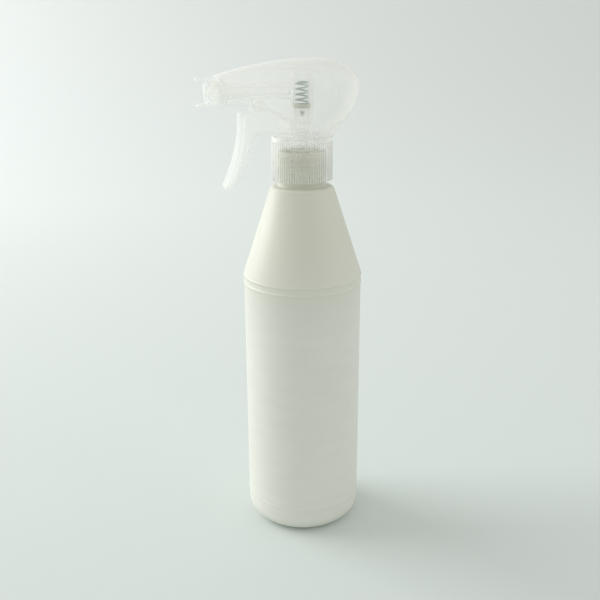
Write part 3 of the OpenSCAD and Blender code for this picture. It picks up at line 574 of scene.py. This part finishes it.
def bottle_profile():
    """Closed outline of the bottle's wall, up the outside and down the inside."""
    s = settings().bottle
    r = s.body_d / 2
    top_r = s.shoulder_top_d / 2
    z_neck = s.body_h + s.shoulder_h
    z_rim = z_neck + s.neck_h
    fall = (r - top_r) / s.shoulder_h
    slant = math.sqrt(1 + fall * fall)

    def cone(z, inset=0.0):
        return r - fall * (z - s.body_h) - inset * slant

    foot_out = r - s.corner
    foot_in = foot_out - s.foot
    dome_r = (foot_in ** 2 + s.push_up ** 2) / (2 * s.push_up)
    dome_a = math.degrees(math.asin(foot_in / dome_r))
    inner_a = 0.8 * math.degrees(math.asin(foot_out / (dome_r + s.wall)))
    dome_c = (0, s.push_up - dome_r)
    z_round = z_neck - s.shoulder_round
    neck_r = s.neck_d / 2
    fillet = 0.8 * MM
    lip = 0.5 * MM
    bead_z = s.body_h - s.bead_half
    roof = z_neck - s.wall
    outside = (
        arc(dome_c, dome_r, 90, 90 - dome_a, 10)
        + arc((foot_out, s.corner), s.corner, -90, 0, 16)
        + swell(r, s.ring_z, s.bead_half, s.ring_proud)
        + swell(r, bead_z - s.bead_pitch, s.bead_half, s.bead_proud)
        + swell(r, bead_z, s.bead_half, s.bead_proud)
        + arc((cone(z_round, s.shoulder_round), z_round), s.shoulder_round,
              math.degrees(math.atan(fall)), 90, 10)
        + arc((neck_r + fillet, z_neck + fillet), fillet, 270, 180, 5)
        + arc((neck_r - lip, z_rim - lip), lip, 0, 90, 4))
    inside = (
        [(s.neck_bore / 2, z_rim), (s.neck_bore / 2, roof)]
        + [(cone(roof, s.wall) - MM, roof), (cone(roof - 2 * MM, s.wall), roof - 2 * MM)]
        + [(r - s.wall, s.body_h)]
        + arc((foot_out, s.corner), s.corner - s.wall, 0, -80, 10)
        + arc(dome_c, dome_r + s.wall, 90 - inner_a, 90, 8))
    return outside + inside


def thread(name, root_r, ridge, start, turns):
    """A helical ridge on a wall; a negative ridge points inwards. Its ends run out."""
    s = settings().thread
    side = math.copysign(1, ridge)
    foot_r = root_r - side * s.sink
    crest_r = root_r + ridge
    piece = begin(name)
    draw([(foot_r, 0, start - s.foot_half), (crest_r, 0, start - s.crest_half),
          (crest_r, 0, start + s.crest_half), (foot_r, 0, start + s.foot_half)])
    bpy.ops.mesh.select_all(action="SELECT")
    bpy.ops.mesh.edge_face_add()
    bpy.ops.mesh.delete(type="ONLY_FACE")
    object_mode()
    apply_modifier(
        piece, "SCREW", axis="Z", angle=TURN * turns, screw_offset=s.pitch * turns,
        steps=int(s.steps * turns), render_steps=int(s.steps * turns), use_smooth_shade=False)
    bpy.ops.object.mode_set(mode="EDIT")
    bpy.ops.mesh.select_all(action="DESELECT")
    bpy.ops.mesh.select_mode(type="EDGE")
    bpy.ops.mesh.select_non_manifold(
        extend=False, use_wire=False, use_boundary=True, use_multi_face=False,
        use_non_contiguous=False, use_verts=False)
    bpy.ops.mesh.edge_face_add()
    mesh = bmesh.from_edit_mesh(piece.data)
    run = 0.12
    under = side * 0.05 * MM
    for v in mesh.verts:
        spin = math.atan2(v.co.y, v.co.x) / TURN
        lap = (v.co.z - start) / s.pitch - spin
        at = round(lap) + spin
        near = min(at, turns - at) / run
        reach = math.hypot(v.co.x, v.co.y)
        if near < 1 and side * (reach - root_r) > 0:
            keep = max(near, 0.0)
            k = (root_r + (reach - root_r) * keep - under * (1 - keep)) / reach
            v.co.x *= k
            v.co.y *= k
    bmesh.update_edit_mesh(piece.data)
    weld()
    return piece


class SPRAY_OT_bottle(bpy.types.Operator):
    """Turn the bottle from its profile and wind the neck's thread"""

    bl_idname = "spray.bottle"
    bl_label = "Bottle"

    def execute(self, context):
        s = settings().bottle
        t = settings().thread
        satin = bottle_satin()
        shell = lathe("bottle_shell", bottle_profile(), s.sides)
        complete(shell, satin, "bottle_body", ["bottle"], angle=32)
        ridge = thread("neck_thread", s.neck_d / 2, t.neck_ridge, t.neck_start, t.neck_turns)
        complete(ridge, satin, "bottle_body")
        return {"FINISHED"}


class SPRAY_OT_collar(bpy.types.Operator):
    """Turn the collar, press in its ribs and wind its inner thread"""

    bl_idname = "spray.collar"
    bl_label = "Collar"

    def execute(self, context):
        s = settings().collar
        t = settings().thread
        low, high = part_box("collar")
        z0, z1 = low.z, high.z
        crest = s.outer_d / 2
        root = crest - s.rib_depth
        bore = s.bore / 2
        hole = s.hole / 2
        band = z1 - s.band
        soft = s.soft
        profile = [
            (bore + s.lead, z0), (crest - soft, z0), (crest, z0 + soft),
            (crest, band - soft), (crest - soft / 2, band), (root, band),
            (root, z1 - s.edge), (root - s.edge * 0.3, z1 - s.edge * 0.3), (root - s.edge, z1),
            (hole + soft, z1), (hole, z1 - soft), (hole, z1 - s.web), (bore - soft, z1 - s.web),
            (bore, z1 - s.web - soft), (bore, z0 + s.lead), (bore + s.lead, z0)]
        step = TURN / s.ribs
        ring = lathe("collar_ring", profile, s.ribs * RIB_STEPS)

        def groove(co):
            spot = (math.atan2(co.y, co.x) / step) % 1
            return math.hypot(co.x, co.y) > root + soft / 4 and abs(spot - 0.5) > RIB_HALF

        select_verts(groove)
        k = root / crest
        bpy.ops.transform.resize(value=(k, k, 1), center_override=(0, 0, 0))
        milky = milky_plastic("collar_plastic", haze=0.09, rim=1.6, outside=(bore, root))
        complete(ring, milky, "screw_collar", ["collar"], angle=60)
        ridge = thread("collar_thread", bore, -t.collar_ridge, t.collar_start, t.collar_turns)
        clear = milky_plastic("thread_plastic", haze=0.06)
        complete(ridge, clear, "screw_collar")
        return {"FINISHED"}


def mix(a, b, t):
    return tuple(p + (q - p) * t for p, q in zip(a, b))


def ease(t):
    return t * t * (3 - 2 * t)


def bezier(points, t):
    """Point on the curve that the given points pull, of any degree."""
    while len(points) > 1:
        points = [mix(p, q, t) for p, q in zip(points, points[1:])]
    return points[0]


class ShroudForm:
    """Lines and sections of the shroud's loft, in millimetres."""

    spray = 250.4
    skirt = 226.8
    skirt_r = 17.0
    nose = (-47.0, spray + 8.0)
    top = (9.0, spray + 16.8)
    pull = (-18.0, spray + 16.8)
    rear = (30.5, spray + 2.5)
    house = (-42.0, spray - 6.2)
    arch = (-32.0, spray - 6.8)
    arch_pull = (-12.1, spray - 9.8)
    arch_end = (-5.6, skirt)
    house_half = 9.2
    arch_half = 10.4
    square_front = 4.2
    square_rear = 2.6
    sweep = 0.35
    share = 0.27
    rear_fall = rear[1] - skirt
    rear_pull = (rear[0], rear[1] - 0.575 * rear_fall)
    skirt_pull = (skirt_r + 5, skirt + 0.44 * rear_fall)
    front_angle = math.acos(arch_end[0] / skirt_r)
    rear_angle = math.radians(35)

    def crown(self, u):
        if u <= 1:
            return bezier([self.nose, self.pull, self.top], u)
        if u <= 2:
            a = math.pi / 2 * (u - 1)
            return (self.top[0] + (self.rear[0] - self.top[0]) * math.sin(a),
                    self.rear[1] + (self.top[1] - self.rear[1]) * math.cos(a))
        end = (self.skirt_r, self.skirt)
        return bezier([self.rear, self.rear_pull, self.skirt_pull, end], u - 2)

    def edge(self, v):
        """Lower edge: x, half width, z."""
        if v <= 1:
            x, z = mix(self.house, self.arch, v)
            return x, self.house_half + (self.arch_half - self.house_half) * ease(v), z
        if v <= 2:
            x, z = bezier([self.arch, self.arch_pull, self.arch_end], v - 1)
            wide = self.skirt_r * math.sin(self.front_angle)
            return x, self.arch_half + (wide - self.arch_half) * ease(v - 1), z
        a = self.front_angle + (self.rear_angle - self.front_angle) * (v - 2)
        return self.skirt_r * math.cos(a), self.skirt_r * math.sin(a), self.skirt

    def row(self, w):
        """Crown place, edge place, sweep, squareness, roundness and wall share at w from 0 to 3."""
        if w <= 1:
            return self.share * w, w, self.sweep + (1 - self.sweep) * w, self.square_front, 0.0, w
        if w <= 2:
            t = w - 1
            square = self.square_front + (self.square_rear - self.square_front) * ease(t)
            return self.share + (1 - self.share) * t, w, 1.0, square, 0.0, 1.0
        t = w - 2
        return 1 + 2 * t, w, 1.0, self.square_rear, ease(t), 1.0

    def point(self, w, t):
        """Point of the skin; t runs from -1 over the crown to 1."""
        u, v, sweep, square, round_ = self.row(w)[:5]
        top = self.crown(u)
        x, half, z = self.edge(v)
        s = abs(t)
        n = 2 / square
        a = self.rear_angle
        q = math.pi / 2 * s
        out = (1 - round_) * math.sin(q) ** n + round_ * math.sin(a * s) / math.sin(a)
        down = ((1 - round_) * (1 - max(math.cos(q), 0) ** n)
                + round_ * (1 - math.cos(a * s)) / (1 - math.cos(a)))
        return (top[0] + (x - top[0]) * down ** sweep,
                math.copysign(half * out, t),
                top[1] + (z - top[1]) * down)


class SPRAY_OT_shroud(bpy.types.Operator):
    """Loft the shroud from a grid, give it its wall and round its open edges"""

    bl_idname = "spray.shroud"
    bl_label = "Shroud"

    def execute(self, context):
        s = settings().shroud
        form = ShroudForm()
        across = s.columns
        along = 3 * s.rows
        object_mode()
        bpy.ops.mesh.primitive_grid_add(x_subdivisions=along, y_subdivisions=across, size=2)
        piece = context.object
        piece.name = "shroud_shell"
        piece.data.name = "shroud_shell"
        thin = piece.vertex_groups.new(name="wall")
        for v in piece.data.vertices:
            w = (v.co.x + 1) * 1.5
            t = v.co.y
            wall = form.row(w)[5]
            thin.add([v.index], s.nose_wall / s.wall * (1 - wall) + wall, "REPLACE")
            v.co = Vector(form.point(w, t)) * MM
        bpy.ops.object.mode_set(mode="EDIT")
        weld()
        object_mode()
        apply_modifier(
            piece, "SOLIDIFY", thickness=s.wall, offset=-1, vertex_group="wall",
            thickness_vertex_group=0.0, use_even_offset=True)
        apply_modifier(
            piece, "BEVEL", width=s.rim, segments=3, limit_method="ANGLE",
            angle_limit=math.radians(55), use_clamp_overlap=True)
        milky = milky_plastic("shroud_plastic", haze=0.18, rim=0.6)
        complete(piece, milky, "sprayer", ["shroud"], angle=40)
        return {"FINISHED"}


class SPRAY_OT_trigger(bpy.types.Operator):
    """Round the edges of the trigger"""

    bl_idname = "spray.trigger"
    bl_label = "Trigger"

    def execute(self, context):
        piece = moulded_copy("trigger", "trigger_lever_moulding", 0.22 * MM)
        milky = milky_plastic("trigger_plastic", haze=0.2, rim=0.45)
        complete(piece, milky, "trigger_lever", ["trigger"], COPY_ANGLE)
        return {"FINISHED"}


class SPRAY_OT_nozzle(bpy.types.Operator):
    """Round the edges of the nozzle"""

    bl_idname = "spray.nozzle"
    bl_label = "Nozzle"

    def execute(self, context):
        piece = moulded_copy("nozzle_cap", "nozzle_moulding", 0.1 * MM)
        milky = milky_plastic("nozzle_plastic", haze=0.24, rim=0.4)
        complete(piece, milky, "nozzle", ["nozzle_cap"], COPY_ANGLE)
        return {"FINISHED"}


class SPRAY_OT_pump(bpy.types.Operator):
    """Round the edges of the pump's mouldings and finish the inner pieces"""

    bl_idname = "spray.pump"
    bl_label = "Pump"

    def execute(self, context):
        inner = milky_plastic("pump_plastic", haze=0.07, rim=0.45)
        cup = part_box("piston_cup")[0].z
        olive = (settings().finish.cup, 0.11, cup - 6 * MM, cup - 2 * MM)
        head = milky_plastic("plunger_plastic", haze=0.08, tinted=olive)
        for node, name, body, finish in (
                ("pump_body", "pump_moulding", "sprayer", inner),
                ("cylinder_cap", "cap_moulding", "sprayer", inner),
                ("plunger", "plunger_moulding", "pump_plunger", head)):
            piece = moulded_copy(node, name, 0.12 * MM)
            complete(piece, finish, body, [node], COPY_ANGLE)
        kept = {
            cup_rubber(): ("piston_cup",),
            steel("ball_steel", settings().finish.ball, 0.1): ("inlet_ball",),
            soft_natural(): ("stem_seal", "outlet_valve", "nozzle_seal", "neck_gasket", "vent_valve",
                             "spinner", "ball_cage"),
            inner: ("tube_holder", "dip_tube")}
        for material, nodes in kept.items():
            for node in nodes:
                NODES[node].data.materials.clear()
                NODES[node].data.materials.append(material)
        return {"FINISHED"}


class SPRAY_OT_spring(bpy.types.Operator):
    """Wind the return spring with closed end turns"""

    bl_idname = "spray.spring"
    bl_label = "Spring"

    def execute(self, context):
        s = settings().spring
        low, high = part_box("return_spring")
        z0 = low.z + s.wire_d / 2
        z1 = high.z - s.wire_d / 2
        total = int(s.turns * s.steps)
        closed = s.end_turns / s.turns
        object_mode()
        bpy.ops.curve.primitive_nurbs_path_add()
        path = context.object
        path.data.splines.clear()
        line = path.data.splines.new("POLY")
        line.points.add(total)
        for i, point in enumerate(line.points):
            t = i / total
            a = s.start + TURN * s.turns * t
            rise = min(max((t - closed) / (1 - 2 * closed), 0.0), 1.0)
            rise = (1 - s.end_slope) * rise + s.end_slope * t
            point.co = (s.coil_d / 2 * math.cos(a), s.coil_d / 2 * math.sin(a), z0 + (z1 - z0) * rise, 1)
        path.data.dimensions = "3D"
        path.data.bevel_depth = s.wire_d / 2
        path.data.bevel_resolution = 3
        path.data.use_fill_caps = True
        bpy.ops.object.convert(target="MESH")
        piece = context.object
        piece.name = "spring_coil"
        piece.data.name = "spring_coil"
        bpy.ops.object.transform_apply(location=True, rotation=True, scale=True)
        bpy.ops.object.mode_set(mode="EDIT")
        weld()
        wire = steel("steel_wire", settings().finish.steel, 0.26)
        complete(piece, wire, "sprayer", ["return_spring"])
        fixed = next(j for j in frame["joints"] if j["name"] == "plunger_lift")
        squeezed = 1 - fixed["range_m"][1] / (high.z - low.z)
        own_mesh(piece)
        return {"FINISHED"}


class SPRAY_OT_stage(bpy.types.Operator):
    """Lay the paper sweep, place the light and the camera"""

    bl_idname = "spray.stage"
    bl_label = "Stage"

    def execute(self, context):
        s = settings().stage
        self.sweep(s)
        self.lamp("window", s.key_place, s.key_power, s)
        self.lamp("fill", s.fill_place, s.fill_power, s)
        world = bpy.data.worlds.new("room")
        world.use_nodes = True
        sky = world.node_tree.nodes["Background"]
        sky.inputs["Color"].default_value = (*s.sky_tint, 1)
        sky.inputs["Strength"].default_value = s.sky_power
        context.scene.world = world
        context.scene.view_settings.view_transform = "Standard"
        light_paths = context.scene.cycles
        light_paths.transparent_max_bounces = 96
        light_paths.max_bounces = 24
        light_paths.diffuse_bounces = 12
        self.camera(s)
        return {"FINISHED"}

    def sweep(self, s):
        object_mode()
        bpy.ops.mesh.primitive_plane_add(size=s.sheet, location=(0, s.sheet_y, 0))
        floor = bpy.context.object
        floor.name = "paper_sweep"
        bpy.ops.object.transform_apply(location=True)
        bpy.ops.object.mode_set(mode="EDIT")
        select_verts(lambda co: co.y > 1)
        bpy.ops.mesh.extrude_region_move(TRANSFORM_OT_translate={"value": (0, 0, s.rise)})
        select_verts(lambda co: co.y > 1 and co.z < 1)
        bpy.ops.mesh.bevel(offset=s.bend, segments=24, affect="EDGES")
        object_mode()
        floor.select_set(True)
        bpy.ops.object.shade_smooth()
        paper = Finish("paper_sweep", Specular_IOR_Level=0.1)
        tooth = paper.noise(900, 3)
        f = settings().finish
        # Painted light: darker paper before the object and lighter paper where it rises stand in for the
        # window light's falloff.
        along = paper.axis("Y") + 0.04 * tooth
        near = paper.blend(along.ramp(-0.2, 0.05), f.paper_near_painted_shade, f.paper)
        colour = paper.blend(along.ramp(0, 2), near, f.paper_far_painted_light)
        paper.set(Base_Color=colour, Roughness=0.8 + 0.1 * tooth)
        floor.data.materials.append(paper.material)

    def lamp(self, name, spot, power, s):
        light = bpy.data.lights.new(name, "AREA")
        light.shape = "SQUARE"
        light.size = s.lamp_size
        light.energy = power
        light.color = s.lamp_tint
        lamp = bpy.data.objects.new(name, light)
        lamp.location = spot
        lamp.rotation_euler = (Vector(s.aim) - Vector(spot)).to_track_quat("-Z", "Y").to_euler()
        bpy.context.scene.collection.objects.link(lamp)

    def camera(self, s):
        data = bpy.data.cameras.new("camera")
        data.lens = s.lens
        data.sensor_width = 36
        camera = bpy.data.objects.new("camera", data)
        bpy.context.scene.collection.objects.link(camera)
        ahead = Vector((math.sin(s.azimuth), math.cos(s.azimuth), 0))
        right = Vector((math.cos(s.azimuth), -math.sin(s.azimuth), 0))
        place = -s.distance * ahead - s.aside * right + Vector((0, 0, s.height))
        sight = ahead * math.cos(s.pitch) - Vector((0, 0, math.sin(s.pitch)))
        up = right.cross(sight)
        turn = Matrix((right, up, -sight)).transposed().to_4x4()
        camera.matrix_world = Matrix.Translation(place) @ turn @ Matrix.Rotation(s.roll, 4, "Z")
        bpy.context.scene.camera = camera


class SPRAY_PT_panel(bpy.types.Panel):
    """Buttons that build the object"""

    bl_label = "Spray Bottle"
    bl_idname = "SPRAY_PT_panel"
    bl_space_type = "VIEW_3D"
    bl_region_type = "UI"
    bl_category = "Spray Bottle"

    def draw(self, context):
        for operator in OPERATORS:
            self.layout.operator(operator.bl_idname)


GROUPS = (BottleSizes, ThreadSizes, CollarSizes, ShroudSizes, SpringSizes, Finishes, StageSettings,
          SprayBottle)
OPERATORS = (SPRAY_OT_bottle, SPRAY_OT_collar, SPRAY_OT_shroud, SPRAY_OT_trigger, SPRAY_OT_nozzle,
             SPRAY_OT_pump, SPRAY_OT_spring, SPRAY_OT_stage)
CLASSES = (*GROUPS, *OPERATORS, SPRAY_PT_panel)


def register():
    for cls in CLASSES:
        bpy.utils.register_class(cls)
    bpy.types.Scene.spray_bottle = bpy.props.PointerProperty(type=SprayBottle)


def unregister():
    del bpy.types.Scene.spray_bottle
    for cls in reversed(CLASSES):
        bpy.utils.unregister_class(cls)


def main():
    register()
    bpy.ops.spray.bottle()
    bpy.ops.spray.collar()
    bpy.ops.spray.shroud()
    bpy.ops.spray.trigger()
    bpy.ops.spray.nozzle()
    bpy.ops.spray.pump()
    bpy.ops.spray.spring()
    bpy.ops.spray.stage()
    object_mode()


if __name__ == "__main__":
    main()
